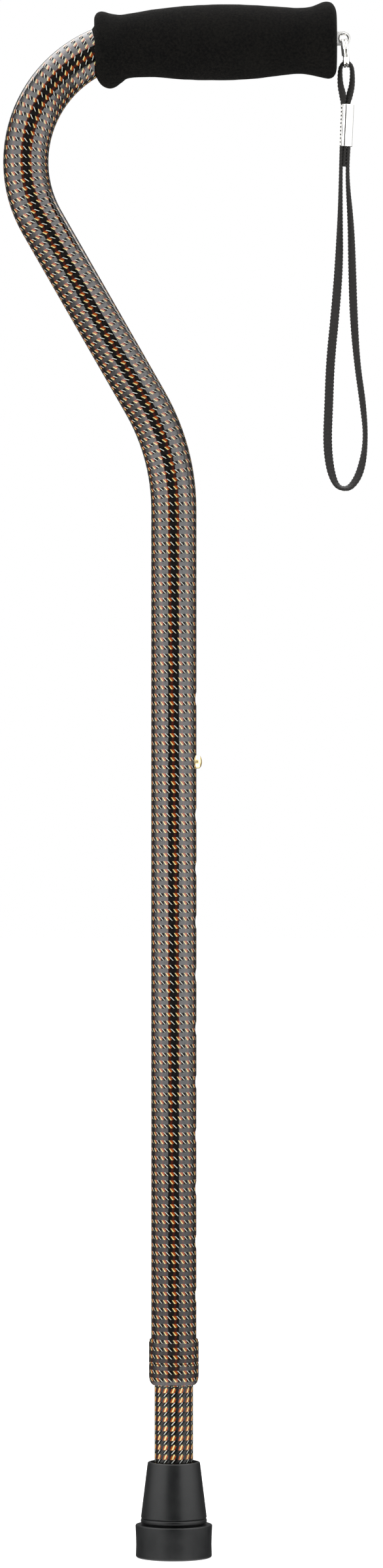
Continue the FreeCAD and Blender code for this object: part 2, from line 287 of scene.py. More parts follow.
# the joining sleeve of the strap: plated sheet folded round the layers, toothed along its open edge
sleeve = {
    # its two ends, which lie along the straight stretch of the strap inside it
    "top": (0.0844, 0, -0.0307),
    "bottom": (0.0835, 0, -0.0510),
    "wall": 0.0003,
    "bevel": 0.00012,
    "bevelAngle": 8,
    "teeth": 11,
    # a tooth's start and end, as shares of the step between teeth
    "toothFrom": 0.2,
    "toothTo": 0.75,
    "toothAngle": 30,
    "toothRoot": (-0.00258, -0.00194),
    "toothTip": (-0.00312, -0.00120),
    # outer face from the front edge round to the back edge, across and toward the back
    "outline": [
        (-0.00262, -0.00190),
        (-0.00240, -0.00228),
        (-0.00188, -0.00228),
        (-0.00112, -0.00284),
        (-0.00040, -0.00284),
        (0.00245, -0.00200),
        (0.00300, -0.00120),
        (0.00312, 0.00000),
        (0.00300, 0.00120),
        (0.00245, 0.00200),
        (-0.00076, 0.00265),
        (-0.00285, 0.00190),
    ],
}


def sleeveAxes():
    # the sleeve's foot, its directions up and across, and its length
    top, bottom = Vector(sleeve["top"]), Vector(sleeve["bottom"])
    up = (top - bottom).normalized()
    return bottom, up, Vector((0, 1, 0)).cross(up), (top - bottom).length


def squeezeAt(place):
    # the sleeve squeezes the braid narrower inside it
    bottom, up, side, length = sleeveAxes()
    height = (place - bottom).dot(up)
    outside = max(-height, height - length, 0)
    return 1 - strap["squeeze"] * max(0, 1 - outside / strap["squeezeFade"])


def makeStrap():
    line = splineLine([(x, 0, z) for x, z, turn in strap["route"]])
    turns = splineLine([(math.radians(turn), 0, 0) for x, z, turn in strap["route"]])
    places = evenSteps(line, turns, strap["ringStep"])
    around = strap["around"]
    points = []
    for n, (at, place, turn) in enumerate(places):
        before, after = places[max(n - 1, 0)][1], places[min(n + 1, len(places) - 1)][1]
        heading = (after - before).normalized()
        width = Matrix.Rotation(turn, 3, heading) @ Vector((0, 1, 0))
        flat = heading.cross(width)
        wave = at / strap["stitchPitch"]
        squeeze = squeezeAt(place)
        for k in range(around):
            angle = 2 * math.pi * k / around
            across = math.copysign(abs(math.cos(angle)) ** strap["edgeRound"], math.cos(angle))
            through = math.copysign(abs(math.sin(angle)) ** strap["faceRound"], math.sin(angle))
            shifted = wave + (0.5 if across > 0 else 0)
            edge = 1 - strap["scallop"] * (1 - abs(math.sin(math.pi * shifted)))
            chevron = abs(math.sin(math.pi * (wave - strap["ridgeSlant"] * abs(across))))
            dip = strap["dip"] * math.exp(-((across / strap["dipWidth"]) ** 2))
            side = 1 - strap["ridge"] * (1 - chevron) - dip
            points.append(
                place
                + width * (across * edge * squeeze * strap["width"] / 2)
                + flat * (through * side * strap["thickness"] / 2)
            )
    faces = joinRings(len(places), around)
    faces.append(tuple(reversed(range(around))))
    faces.append(tuple(range((len(places) - 1) * around, len(places) * around)))
    piece = meshPiece("wristBraid", points, faces, braidMaterial(), "strap")
    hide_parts("wrist_strap")
    return piece, line


braid, braidLine = makeStrap()
print("wrist strap braided")


def platedMaterial(name, code, roughness, grain):
    # nickel-plated steel: a mirror, bright or satin, over the slight unevenness of the metal below
    material, tree, shader = startMaterial(
        name, Base_Color=linearColour(code), Metallic=1.0, Roughness=roughness
    )
    place = objectPlace(tree)
    rough = addNode(tree, "TexNoise", {"Vector": place, "Scale": grainScale(grain), "Detail": 3.0})
    haze = {"Value": rough.outputs["Fac"], "To Min": roughness * 0.7, "To Max": roughness * 1.5}
    tree.links.new(addNode(tree, "MapRange", haze).outputs[0], shader.inputs["Roughness"])
    addBump(tree, shader, rough.outputs["Fac"], 0.04, 0.00004)
    return material


chrome = platedMaterial("brightNickelPlate", "#e9e8e4", 0.07, 1.111)
satinNickel = platedMaterial("satinNickelPlate", "#d2d1cf", 0.42, 0.6667)


def prism(section, low, high):
    # a bar with that section, between two heights up the sleeve
    bottom, up, side, length = sleeveAxes()
    return [bottom + up * h + side * x + Vector((0, y, 0)) for h in (low, high) for x, y in section]


def makeSleeve():
    length = sleeveAxes()[3]
    outer = sleeve["outline"]
    inner = []
    for x, y in outer:
        reach = math.hypot(x, y)
        inner.append((x * (1 - sleeve["wall"] / reach), y * (1 - sleeve["wall"] / reach)))
    count = len(outer)
    section = outer + inner[::-1]
    points = prism(section, 0, length)
    faces = joinRings(2, 2 * count)
    for n in range(count - 1):
        cap = [n, n + 1, 2 * count - 2 - n, 2 * count - 1 - n]
        faces.append(tuple(cap[::-1]))
        faces.append(tuple(c + 2 * count for c in cap))
    piece = meshPiece("strapSleeve", points, faces, chrome, "strap")
    softenEdges(piece, sleeve["bevel"], angle=sleeve["bevelAngle"])
    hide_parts("strap_ferrule")
    root, point = Vector(sleeve["toothRoot"]), Vector(sleeve["toothTip"])
    thick = (point - root).normalized().orthogonal() * (sleeve["wall"] / 2)
    tooth = [tuple(root - thick), tuple(point - thick), tuple(point + thick), tuple(root + thick)]
    points, faces = [], []
    step = length / sleeve["teeth"]
    for n in range(sleeve["teeth"]):
        start = len(points)
        points += prism(tooth, step * (n + sleeve["toothFrom"]), step * (n + sleeve["toothTo"]))
        faces += [tuple(start + i for i in face) for face in joinRings(2, 4)]
        faces += [tuple(start + i for i in (3, 2, 1, 0)), tuple(start + i for i in (4, 5, 6, 7))]
    teeth = meshPiece("sleeveTeeth", points, faces, chrome, "strap", sleeve["toothAngle"])
    return piece, teeth


strapSleeve, sleeveTeeth = makeSleeve()
print("strap sleeve crimped")


# split ring of two coils, sprung flat against each other
splitRing = {
    "wire": 0.00075,
    "radius": 0.0063,
    "spacing": 0.00155,
    # in degrees: where the wire starts, the stretch that crosses between the coils, the gap at each end
    "start": 86,
    "stepTurn": 30,
    "endGap": 13,
    "around": 14,
    "steps": 150,
    "sharp": 50,
}


def makeRing():
    joint = next(j for j in frame["joints"] if j["name"] == "strap_swing")
    axis = Vector(joint["axis"]).normalized()
    centre = Vector(joint["pos_m"])
    down = Vector((axis.z, 0, -axis.x))
    ahead = axis.cross(down)
    ring = splitRing
    points = []
    total = 720 - 2 * ring["endGap"]
    for n in range(ring["steps"] + 1):
        turned = total * n / ring["steps"]
        angle = math.radians(ring["start"] + turned)
        past = (turned - total / 2) / ring["stepTurn"]
        share = min(max(past + 0.5, 0), 1)
        shift = (share * share * (3 - 2 * share) - 0.5) * ring["spacing"]
        outward = down * math.cos(angle) + ahead * math.sin(angle)
        middle = centre + outward * ring["radius"] + axis * shift
        for k in range(ring["around"]):
            turn = 2 * math.pi * k / ring["around"]
            points.append(middle + (outward * math.cos(turn) + axis * math.sin(turn)) * ring["wire"])
    count, around = ring["steps"] + 1, ring["around"]
    faces = joinRings(count, around)
    faces += [tuple(reversed(range(around))), tuple(range((count - 1) * around, count * around))]
    piece = meshPiece("splitRing", points, faces, chrome, "strap_ring", ring["sharp"])
    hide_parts("split_ring")


makeRing()
print("split ring wound")


# the cane's tube: its centreline in the handle's plane, and the print wrapped on it
tube = {
    "radius": 0.011,
    "bore": 0.0097,
    "setback": 0.0133,
    "lean": math.radians(29.8),
    "lowerBend": 0.105,
    "around": 96,
    "bendStep": math.radians(2.5),
    "straightStep": 0.006,
    "holePitch": 0.0259,
    "holesBelow": 10,
    "topHoleRise": 0.0306,
    "holeRadius": 0.0034,
    "holeSides": 40,
    # the bars that cut the holes: from inside the bore to outside the tube
    "barFrom": 0.00485,
    "barTo": 0.0154,
    # a face is the tube's skin when it looks this squarely along the radius
    "squarely": 0.8,
}


def tubeLine():
    # places and directions along the centreline, from the grip's open end to the shaft's end
    low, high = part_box("upper_shaft")
    hookRadius = -low.x - tube["setback"] - tube["radius"]
    lean = tube["lean"]
    hookCentre = Vector((-tube["setback"], 0, -hookRadius))
    sideways = Vector((math.cos(lean), 0, math.sin(lean)))
    slant = Vector((math.sin(lean), 0, -math.cos(lean)))
    hookEnd = hookCentre - sideways * hookRadius
    meeting = hookEnd + slant * (-hookEnd.x / math.sin(lean))
    bendLength = tube["lowerBend"] * math.tan(lean / 2)
    bendStart = meeting - slant * bendLength
    bendCentre = Vector((-tube["lowerBend"], 0, meeting.z - bendLength))
    line = []

    def straight(a, b):
        count = max(1, math.ceil((b - a).length / tube["straightStep"]))
        for n in range(count):
            line.append((a.lerp(b, n / count), (b - a).normalized()))

    def arc(centre, radius, first, last):
        count = math.ceil(abs(last - first) / tube["bendStep"])
        way = math.copysign(1, last - first)
        for n in range(count):
            angle = first + (last - first) * n / count
            outward = Vector((math.cos(angle), 0, math.sin(angle)))
            line.append((centre + outward * radius, Vector((-outward.z, 0, outward.x)) * way))

    straight(Vector((high.x, 0, 0)), Vector((-tube["setback"], 0, 0)))
    arc(hookCentre, hookRadius, math.pi / 2, math.pi + lean)
    straight(hookEnd, bendStart)
    arc(bendCentre, tube["lowerBend"], lean, 0)
    straight(Vector((0, 0, bendCentre.z)), Vector((0, 0, low.z)))
    line.append((Vector((0, 0, low.z)), Vector((0, 0, -1))))
    return line, bendCentre.z


# the wrap print, in millimetres and turns: how many motifs go round, their size, where a row and
# a column start, and how far the columns drift round the tube with each millimetre from the level
upperPrint = {
    "round": 15,
    "width": 4.65,
    "height": 3.865,
    "from": 262.9,
    "lead": 0.28,
    "turn": -4.3 / 360,
    "drift": 0.107 / 360,
    "level": 332.3,
}
collarPrint = {
    "round": 16,
    "width": 4.65,
    "height": 3.71,
    "from": 633.8,
    "lead": 0.28,
    "turn": 3.9 / 360,
    "drift": 0.0,
    "level": 0.0,
}
lowerPrint = {
    "round": 15,
    "width": 3.94,
    "height": 4.612,
    "from": 653.3,
    "lead": 0.5,
    "turn": 0.0,
    "drift": 0.0,
    "level": 0.0,
}

# the film and its lacquer: the ground's darkest share, grain sizes in millimetres, the gloss that
# dull ink keeps, and how softly the ink's edges fade in millimetres
film = {
    "deep": 0.5,
    "speck": 0.7143,
    "glossFrom": 0.72,
    "glossTo": 1.18,
    "dullGloss": 0.12,
    "edge": 0.09,
    "dullEdge": 0.15,
    "wave": 3.846,
}


def slantBand(tree, x, y, left, right, span, soft):
    # 1 inside a slanting band: left and right are (place, slope), span is (top, bottom), in millimetres
    gaps = []
    for place, slope, sign in ((*left, 1), (*right, -1)):
        edge = addNode(tree, "Math", {0: y, 1: slope, 2: place}, operation="MULTIPLY_ADD").outputs[0]
        pair = (x, edge) if sign > 0 else (edge, x)
        gaps.append(addNode(tree, "Math", {0: pair[0], 1: pair[1]}, operation="SUBTRACT").outputs[0])
    gaps.append(addNode(tree, "Math", {0: y, 1: span[0]}, operation="SUBTRACT").outputs[0])
    gaps.append(addNode(tree, "Math", {0: span[1], 1: y}, operation="SUBTRACT").outputs[0])
    least = gaps[0]
    for gap in gaps[1:]:
        least = addNode(tree, "Math", {0: least, 1: gap}, operation="MINIMUM").outputs[0]
    fade = {"Value": least, "From Min": -soft, "From Max": soft}
    return addNode(tree, "MapRange", fade, interpolation_type="SMOOTHSTEP").outputs[0]


def printCell(tree, layout, bent):
    # where a point lies in its motif, across and down, in millimetres
    if bent:
        place = addNode(tree, "Attribute", attribute_name="wrap").outputs["Vector"]
        parts = addNode(tree, "SeparateXYZ", {0: place})
        turn, down = parts.outputs["X"], parts.outputs["Y"]
    else:
        parts = addNode(tree, "SeparateXYZ", {0: objectPlace(tree)})
        ahead = addNode(tree, "Math", {0: parts.outputs["Y"], 1: -1.0}, operation="MULTIPLY").outputs[0]
        angle = addNode(tree, "Math", {0: parts.outputs["X"], 1: ahead}, operation="ARCTAN2").outputs[0]
        turn = addNode(tree, "Math", {0: angle, 1: 0.5 / math.pi}, operation="MULTIPLY").outputs[0]
        down = addNode(tree, "Math", {0: parts.outputs["Z"], 1: -1000.0}, operation="MULTIPLY").outputs[0]
    drift = {0: down, 1: -layout["drift"], 2: turn}
    drifted = addNode(tree, "Math", drift, operation="MULTIPLY_ADD").outputs[0]
    start = layout["turn"] - layout["drift"] * layout["level"] - layout["lead"] / layout["round"]
    motif = addNode(tree, "Math", {0: drifted, 1: start}, operation="SUBTRACT").outputs[0]
    motif = addNode(tree, "Math", {0: motif, 1: float(layout["round"])}, operation="MULTIPLY").outputs[0]
    across = addNode(tree, "Math", {0: motif}, operation="FRACT").outputs[0]
    row = addNode(tree, "Math", {0: down, 1: layout["from"]}, operation="SUBTRACT").outputs[0]
    row = addNode(tree, "Math", {0: row, 1: 1 / layout["height"]}, operation="MULTIPLY").outputs[0]
    drop = addNode(tree, "Math", {0: row}, operation="FRACT").outputs[0]
    y = addNode(tree, "Math", {0: drop, 1: layout["height"]}, operation="MULTIPLY").outputs[0]
    return across, y


def printedMaterial(name, layout, bands, ground, coat, bent=False):
    # printed film under clear lacquer: woven-look motifs in cream and rust below a hard gloss.
    # the film's print dots are 0.1 mm, drawn at 0.7 mm so that they show
    material, tree, shader = startMaterial(
        name,
        Roughness=0.5,
        Specular_IOR_Level=0.0,
        Coat_Roughness=coat["roughness"],
        Coat_IOR=1.5,
    )
    across, y = printCell(tree, layout, bent)
    x = addNode(tree, "Math", {0: across, 1: layout["width"]}, operation="MULTIPLY").outputs[0]
    dots = {"Vector": objectPlace(tree), "Scale": grainScale(film["speck"]), "Detail": 3.0}
    speck = addNode(tree, "TexNoise", dots)
    deep = [c * film["deep"] for c in linearColour(ground)[:3]] + [1]
    colour = blendColours(tree, speck.outputs["Fac"], deep, linearColour(ground))
    spread = {"Value": speck.outputs["Fac"], "From Min": 0.35, "From Max": 0.65}
    spread.update({"To Min": film["glossFrom"], "To Max": film["glossTo"]})
    gloss = addNode(tree, "MapRange", spread).outputs[0]
    for left, right, span, code, opacity, dull in bands:
        mask = slantBand(tree, x, y, left, right, span, film["dullEdge"] if dull else film["edge"])
        under = film["dullGloss"] if dull else 1.0
        kept = addNode(tree, "MapRange", {"Value": mask, "To Min": 1.0, "To Max": under})
        gloss = addNode(tree, "Math", {0: gloss, 1: kept.outputs[0]}, operation="MULTIPLY").outputs[0]
        if opacity < 1:
            mask = addNode(tree, "Math", {0: mask, 1: opacity}, operation="MULTIPLY").outputs[0]
        colour = blendColours(tree, mask, colour, linearColour(code))
    tree.links.new(colour, shader.inputs["Base Color"])
    gloss = addNode(tree, "Math", {0: gloss, 1: coat["weight"]}, operation="MULTIPLY", use_clamp=True)
    tree.links.new(gloss.outputs[0], shader.inputs["Coat Weight"])
    waves = {"Vector": objectPlace(tree), "Scale": grainScale(film["wave"]), "Detail": 1.0}
    wave = addNode(tree, "TexNoise", waves)
    addBump(tree, shader, wave.outputs["Fac"], 0.05, 0.0002, "Coat Normal")
    return material


# each band of ink in millimetres: (left place, slope), (right place, slope), (top, bottom),
# then its colour, its opacity and whether it is dull
leaningMotif = [
    ((1.60, -0.20), (2.70, -0.20), (1.9, 3.9), "#5a1a0a", 0.4, 0),
    ((2.60, 0.95), (4.30, 0.70), (0.1, 1.7), "#030302", 1, 1),
    ((1.80, 0.40), (2.05, 1.20), (0.1, 1.95), "#030302", 1, 1),
    ((0.46, 0.80), (1.98, 0.40), (0.0, 1.60), "#9a400b", 1, 0),
    ((0.06, 0.64), (0.50, 0.84), (0.06, 1.80), "#dacb88", 1, 0),
    ((1.98, 1.05), (2.62, 0.95), (0.06, 1.78), "#c2c5bb", 1, 0),
]
standingMotif = [
    ((3.70, -0.86), (5.95, -0.86), (2.5, 4.56), "#030302", 1, 1),
    ((1.20, -0.36), (3.45, -0.40), (0.75, 2.75), "#a8480d", 1, 0),
    ((1.95, -0.42), (2.68, -0.37), (0.15, 2.65), "#ecd995", 1, 0),
    ((4.45, -0.86), (5.00, -0.86), (2.7, 4.45), "#c6cac5", 1, 0),
]
hardGloss = {"weight": 1.1, "roughness": 0.05}
softGloss = {"weight": 0.8, "roughness": 0.12}
wrappedFilm = printedMaterial("printedLacquerTube", upperPrint, leaningMotif, "#151211", hardGloss, True)
collarFilm = printedMaterial("printedLacquerCollar", collarPrint, leaningMotif, "#262221", softGloss)
lowerFilm = printedMaterial("printedLacquerLower", lowerPrint, standingMotif, "#272524", softGloss)


def bareAluminium():
    # drawn aluminium, left bare where the tube was cut and drilled: pale, with fine lines along it
    material, tree, shader = startMaterial(
        "bareDrawnAluminium", Base_Color=linearColour("#c4c5c7"), Metallic=1.0, Roughness=0.38
    )
    lineSize = (grainScale(0.4), grainScale(0.4), grainScale(16.67))
    grain = addNode(tree, "Mapping", {"Vector": objectPlace(tree), "Scale": lineSize})
    lines = addNode(tree, "TexNoise", {"Vector": grain.outputs[0], "Scale": 1.0, "Detail": 2.0})
    addBump(tree, shader, lines.outputs["Fac"], 0.2, 0.00004)
    return material


bareMetal = bareAluminium()


def holeHeights():
    # the hole that the button stands in and those below it, with the top one further off
    low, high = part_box("snap_button")
    start = (low.z + high.z) / 2
    below = [start - tube["holePitch"] * n for n in range(tube["holesBelow"] + 1)]
    return [start + tube["topHoleRise"]] + below


def drillHoles(piece):
    # one joined cutter of round bars through the tube's open side
    sides, radius = tube["holeSides"], tube["holeRadius"]
    points, faces = [], []
    for height in holeHeights():
        start = len(points)
        for x in (tube["barFrom"], tube["barTo"]):
            for k in range(sides):
                turn = 2 * math.pi * k / sides
                points.append((x, radius * math.cos(turn), height + radius * math.sin(turn)))
        faces += [tuple(start + i for i in face) for face in joinRings(2, sides)]
        faces += [
            tuple(start + k for k in reversed(range(sides))),
            tuple(start + sides + k for k in range(sides)),
        ]
    mesh = bpy.data.meshes.new("holeBars")
    mesh.from_pydata(points, [], faces)
    cutter = bpy.data.objects.new("holeBars", mesh)
    bpy.context.scene.collection.objects.link(cutter)
    cut = piece.modifiers.new("holes", "BOOLEAN")
    cut.operation = "DIFFERENCE"
    cut.solver = "EXACT"
    cut.object = cutter
    bpy.context.view_layer.update()
    graph = bpy.context.evaluated_depsgraph_get()
    drilled = bpy.data.meshes.new_from_object(piece.evaluated_get(graph))
    piece.modifiers.clear()
    piece.data = drilled
    bpy.data.objects.remove(cutter)


def finishTube(piece, straightTop):
    # print outside and bare metal inside, with true round normals along the drilled stretch
    mesh = piece.data
    mesh.shade_smooth()
    axisLine = tubeLine()[0]
    normals = [Vector(n.vector) for n in mesh.corner_normals]
    for face in mesh.polygons:
        middle = face.center
        if middle.z < straightTop:
            outward = Vector((middle.x, middle.y, 0)).normalized()
        else:
            nearest = min(axisLine, key=lambda p: (p[0] - middle).length_squared)[0]
            outward = (middle - nearest).normalized()
        facing = face.normal.dot(outward)
        face.material_index = 0 if facing > tube["squarely"] else 1
        for corner in face.loop_indices:
            if abs(facing) < tube["squarely"]:
                normals[corner] = Vector(face.normal)
            elif middle.z < straightTop:
                co = mesh.vertices[mesh.loops[corner].vertex_index].co
                normals[corner] = Vector((co.x, co.y, 0)).normalized() * math.copysign(1, facing)
    mesh.normals_split_custom_set([tuple(n) for n in normals])


def makeTube():
    line, straightTop = tubeLine()
    around = tube["around"]
    points = []
    across = Vector((0, 1, 0))
    rings = [(place, heading, tube["radius"]) for place, heading in line]
    rings += [(place, heading, tube["bore"]) for place, heading in reversed(line)]
    for place, heading, radius in rings:
        outward = heading.cross(across)
        for k in range(around):
            turn = 2 * math.pi * k / around
            points.append(place + (outward * math.cos(turn) + across * math.sin(turn)) * radius)
    faces = joinRings(len(rings), around, True)
    piece = meshPiece("printedTube", points, faces, wrappedFilm, "upper")
    # where the wrapped print lies: turns from the cane's near side, and millimetres down the centreline
    lengths = [0.0]
    for (a, _), (b, _) in zip(line, line[1:]):
        lengths.append(lengths[-1] + (b - a).length)
    downward = [1000 * (at - lengths[-1] - line[-1][0].z) for at in lengths]
    downward += list(reversed(downward))
    wrap = piece.data.attributes.new("wrap", "FLOAT_VECTOR", "CORNER")
    values = [0.0] * (3 * len(piece.data.loops))
    for face in piece.data.polygons:
        columns = [piece.data.loops[c].vertex_index % around for c in face.loop_indices]
        seam = max(columns) - min(columns) > 1
        for corner, column in zip(face.loop_indices, columns):
            ring = piece.data.loops[corner].vertex_index // around
            turned = column + (around if seam and column == 0 else 0)
            values[3 * corner] = turned / around + 0.25  # the first column is a quarter turn on
            values[3 * corner + 1] = downward[ring]
    wrap.data.foreach_set("vector", values)
    drillHoles(piece)
    piece.data.materials.clear()
    piece.data.materials.append(wrappedFilm)
    piece.data.materials.append(bareMetal)
    finishTube(piece, straightTop)
    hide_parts("upper_shaft")


makeTube()
print("tube bent and drilled")


axisRadius = 0.00002  # how near to its axis an outline may come


def lathe(name, profile, material, body, slot, node, around=96, sharp=40, alongX=None):
    # turns a closed outline of (radius, height) about the shaft's axis, or about a level one at alongX
    points = []
    for radius, height in profile:
        for k in range(around):
            turn = 2 * math.pi * k / around
            if alongX is None:
                points.append((radius * math.cos(turn), radius * math.sin(turn), height))
            else:
                points.append((height, radius * math.cos(turn), alongX + radius * math.sin(turn)))
    piece = meshPiece(name, points, joinRings(len(profile), around, True), material, body, sharp)
    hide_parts(node)


def quarter(centre, size, first, last, steps):
    # a round corner of an outline, as an arc of an ellipse between two angles in degrees
    corner = []
    for n in range(steps + 1):
        angle = math.radians(first + (last - first) * n / steps)
        corner.append((centre[0] + size[0] * math.cos(angle), centre[1] + size[1] * math.sin(angle)))
    return corner


# locking collar: the fixed half above, and the nut below with its rounded foot
collar = {
    "radius": 0.0121,
    "tubeFit": 0.01102,
    "socket": 0.0108,
    "shoulder": 0.0012,
    "shoulderInset": 0.0008,
    "shoulderRound": 0.00062,
    # the groove under the shoulder, and the lip below it
    "groove": 0.00028,
    "grooveDrop": 0.00005,
    "lipDrop": 0.00045,
    "lipRound": (0.0002, 0.0003),
    "noseBore": 0.00952,
    "noseRadius": 0.01067,
    "seamGap": 0.00025,
    "seamRound": 0.00035,
    "nutBore": 0.01073,
    "footBore": 0.00964,
    "footRound": 0.0047,
    # the nut's inside above its foot: radius, and height from its lower end
    "seat": [
        (0.00964, 0.0),
        (0.00958, 0.0004),
        (0.00958, 0.0009),
        (0.00993, 0.0009),
        (0.01043, 0.0024),
        (0.01073, 0.0024),
    ],
}


def makeCollar():
    low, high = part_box("lock_ferrule")
    nutLow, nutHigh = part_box("lock_nut")
    radius, tubeFit, soft = collar["radius"], collar["tubeFit"], collar["seamRound"]
    seam = nutHigh.z + collar["seamGap"]
    shoulder = high.z - collar["shoulder"]
    lip = collar["lipRound"]
    edge = (collar["shoulderRound"], collar["shoulder"])
    top = [(tubeFit, high.z)]
    top += quarter((radius - collar["shoulderInset"], shoulder), edge, 90, 20, 6)
    top += [(radius - collar["groove"], shoulder - collar["grooveDrop"])]
    top += quarter((radius - lip[0], shoulder - collar["lipDrop"]), lip, 90, 0, 4)
    top += quarter((radius - soft, seam + soft), (soft, soft), 0, -80, 5)
    top += [(collar["noseRadius"], seam), (collar["noseRadius"], low.z)]
    top += [(collar["noseBore"], low.z), (collar["noseBore"], high.z - collar["socket"])]
    top += [(tubeFit, high.z - collar["socket"])]
    lathe("collarFixedHalf", top[::-1], collarFilm, "upper", "printed_collar", "lock_ferrule")
    footBore, footRound = collar["footBore"], collar["footRound"]
    nut = [(collar["nutBore"], nutHigh.z)]
    nut += quarter((radius - soft, nutHigh.z - soft), (soft, soft), 80, 0, 5)
    nut += quarter((footBore, nutLow.z + footRound), (radius - footBore, footRound), 0, -84, 14)
    nut += [(out, nutLow.z + rise) for out, rise in collar["seat"]]
    lathe("collarNut", nut[::-1], collarFilm, "collar_nut", "printed_collar", "lock_nut")


makeCollar()
print("collar turned")


# foam grip: each section by its top and bottom points (x, z), from the hook's end to the strap's
grip = {
    "around": 96,
    "between": 5,
    "sharp": 50,
    # the bore follows the tube, its sections tipped by less than the tube is
    "bore": 0.01090,
    "boreRings": 24,
    "boreInset": 0.0003,
    "boreTip": 0.6,
    # shallow dimples of the moulded skin, about 4 mm apart
    "dimpleDepth": 0.00012,
    "dimplesPerMetre": 260,
    "stations": [
        (-0.0379, 0.0086, -0.0373, -0.0134),
        (-0.0387, 0.0106, -0.0379, -0.0160),
        (-0.0382, 0.0125, -0.0371, -0.0184),
        (-0.0371, 0.0139, -0.0356, -0.0207),
        (-0.0354, 0.0145, -0.0334, -0.0223),
        (-0.0335, 0.0143, -0.0308, -0.0228),
        (-0.0312, 0.0136, -0.0281, -0.0220),
        (-0.0284, 0.0131, -0.0253, -0.0199),
        (-0.0240, 0.0131, -0.0213, -0.0177),
        (-0.0108, 0.0153, -0.0092, -0.0173),
        (0.0050, 0.0171, 0.0050, -0.0184),
        (0.0220, 0.0179, 0.0220, -0.0188),
        (0.0380, 0.0176, 0.0380, -0.0181),
        (0.0500, 0.0168, 0.0500, -0.0167),
        (0.0600, 0.0162, 0.0600, -0.0157),
        (0.0655, 0.0166, 0.0660, -0.0161),
        (0.0690, 0.0177, 0.0700, -0.0170),
        (0.0720, 0.0189, 0.0733, -0.0178),
        (0.0744, 0.0192, 0.0754, -0.0180),
        (0.0766, 0.0186, 0.0772, -0.0174),
        (0.0781, 0.0168, 0.0785, -0.0158),
        (0.0789, 0.0142, 0.0791, -0.0136),
        (0.0790, 0.0116, 0.0790, -0.0112),
    ],
}


def foamMaterial():
    # closed-cell foam, moulded: no shine, a dusting of paler cells and tiny pits
    material, tree, shader = startMaterial(
        "blackClosedCellFoam", Roughness=0.95, Specular_IOR_Level=0.03
    )
    place = objectPlace(tree)
    # cells are 0.2 mm across in the real foam, drawn at about 0.5 mm so that they show
    cells = addNode(tree, "TexVoronoi", {"Vector": place, "Scale": grainScale(0.5263)})
    dust = addNode(tree, "TexNoise", {"Vector": place, "Scale": grainScale(1.111), "Detail": 4.0})
    patches = addNode(tree, "TexNoise", {"Vector": place, "Scale": grainScale(16.67), "Detail": 3.0})
    parts = {0: patches.outputs["Fac"], 1: 0.35, 2: dust.outputs["Fac"]}
    mixed = addNode(tree, "Math", parts, operation="MULTIPLY_ADD")
    tone = addNode(tree, "ValToRGB", {0: mixed.outputs[0]})
    tone.color_ramp.elements[0].position = 0.5
    tone.color_ramp.elements[0].color = linearColour("#080808")
    tone.color_ramp.elements[1].position = 0.9
    tone.color_ramp.elements[1].color = linearColour("#151412")
    tree.links.new(tone.outputs[0], shader.inputs["Base Color"])
    addBump(tree, shader, cells.outputs["Distance"], 0.45, 0.0002)
    return material


def throughStations(stations, between):
    # smooth values between the stations
    smooth = []
    for n in range(len(stations) - 1):
        a, b = stations[max(n - 1, 0)], stations[n]
        c, d = stations[n + 1], stations[min(n + 2, len(stations) - 1)]
        for k in range(between):
            t = k / between
            smooth.append(
                tuple(
                    q + 0.5 * t * (r - p + t * (2 * p - 5 * q + 4 * r - s + t * (3 * (q - r) + s - p)))
                    for p, q, r, s in zip(a, b, c, d)
                )
            )
    return smooth + [stations[-1]]


def makeGrip():
    around = grip["around"]
    low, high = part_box("upper_shaft")
    hookRadius = -low.x - tube["setback"] - tube["radius"]
    points = []

    def addRing(top, bottom, rough=0.0):
        middle, up = (top + bottom) / 2, (top - bottom) / 2
        for k in range(around):
            turn = 2 * math.pi * k / around
            out = Vector((0, math.cos(turn) * up.length, 0)) + up * math.sin(turn)
            place = middle + out
            bump = noise.noise(place * grip["dimplesPerMetre"]) * rough
            points.append(place + out.normalized() * bump)

    stations = throughStations(grip["stations"], grip["between"])
    for topX, topZ, bottomX, bottomZ in stations:
        addRing(Vector((topX, 0, topZ)), Vector((bottomX, 0, bottomZ)), grip["dimpleDepth"])
    first, last = (stations[0][0] + stations[0][2]) / 2, stations[-1][0]
    count = grip["boreRings"]
    for n in range(count + 1):
        x = last + (first + grip["boreInset"] - last) * n / count
        past = max(0.0, -tube["setback"] - x)
        lean = math.asin(past / hookRadius)
        middle = Vector((x, 0, math.sqrt(hookRadius**2 - past**2) - hookRadius))
        up = Vector((-math.sin(lean) * grip["boreTip"], 0, math.cos(lean))).normalized() * grip["bore"]
        addRing(middle + up, middle - up)
    faces = [face[::-1] for face in joinRings(len(stations) + count + 1, around, True)]
    piece = meshPiece("foamGrip", points, faces, foamMaterial(), "upper", grip["sharp"])
    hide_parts("foam_grip")


makeGrip()
print("foam grip moulded")


